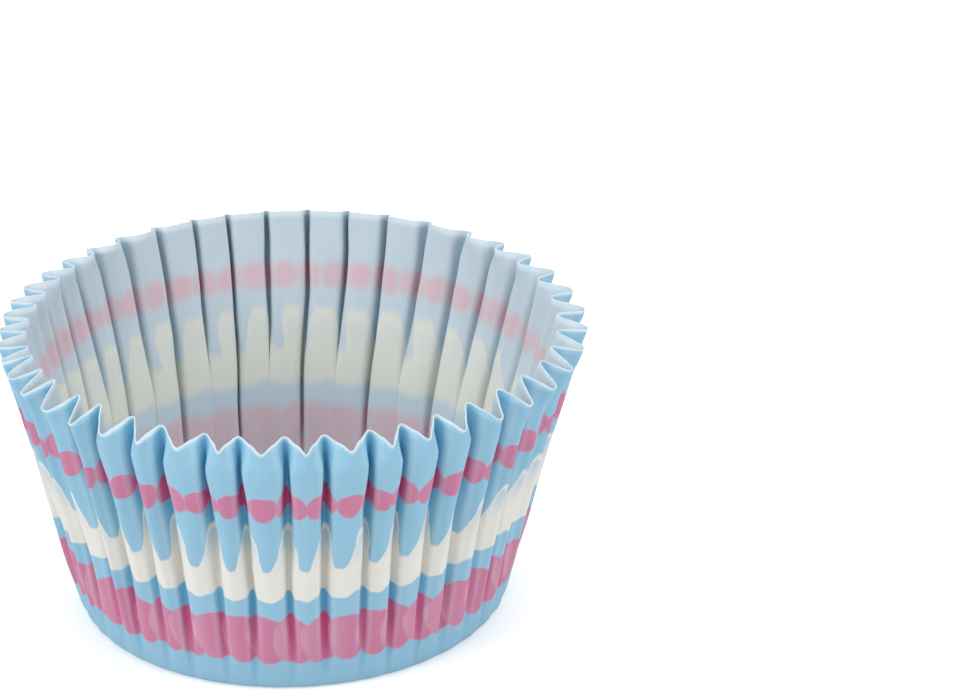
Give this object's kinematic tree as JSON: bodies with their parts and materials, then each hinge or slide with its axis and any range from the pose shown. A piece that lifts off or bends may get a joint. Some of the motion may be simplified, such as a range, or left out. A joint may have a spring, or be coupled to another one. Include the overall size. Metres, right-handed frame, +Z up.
{
  "type": "cupcake liner",
  "caption": "Round paper baking cup with a flat base and a flared, finely pleated wall that is open at the top.",
  "frame": {"origin": "centre of the underside of the flat base", "axes": "+Z up through the open mouth; the pleats repeat round Z, and -Y faces the camera of the picture"},
  "size_m": [0.067, 0.0672, 0.0347],
  "materials": {
    "printed_paper": "matt greaseproof paper, printed outside in pale blue, pink and cream rings"
  },
  "bodies": {
    "root": {"paper_cup": "printed_paper"}
  },
  "joints": []
}
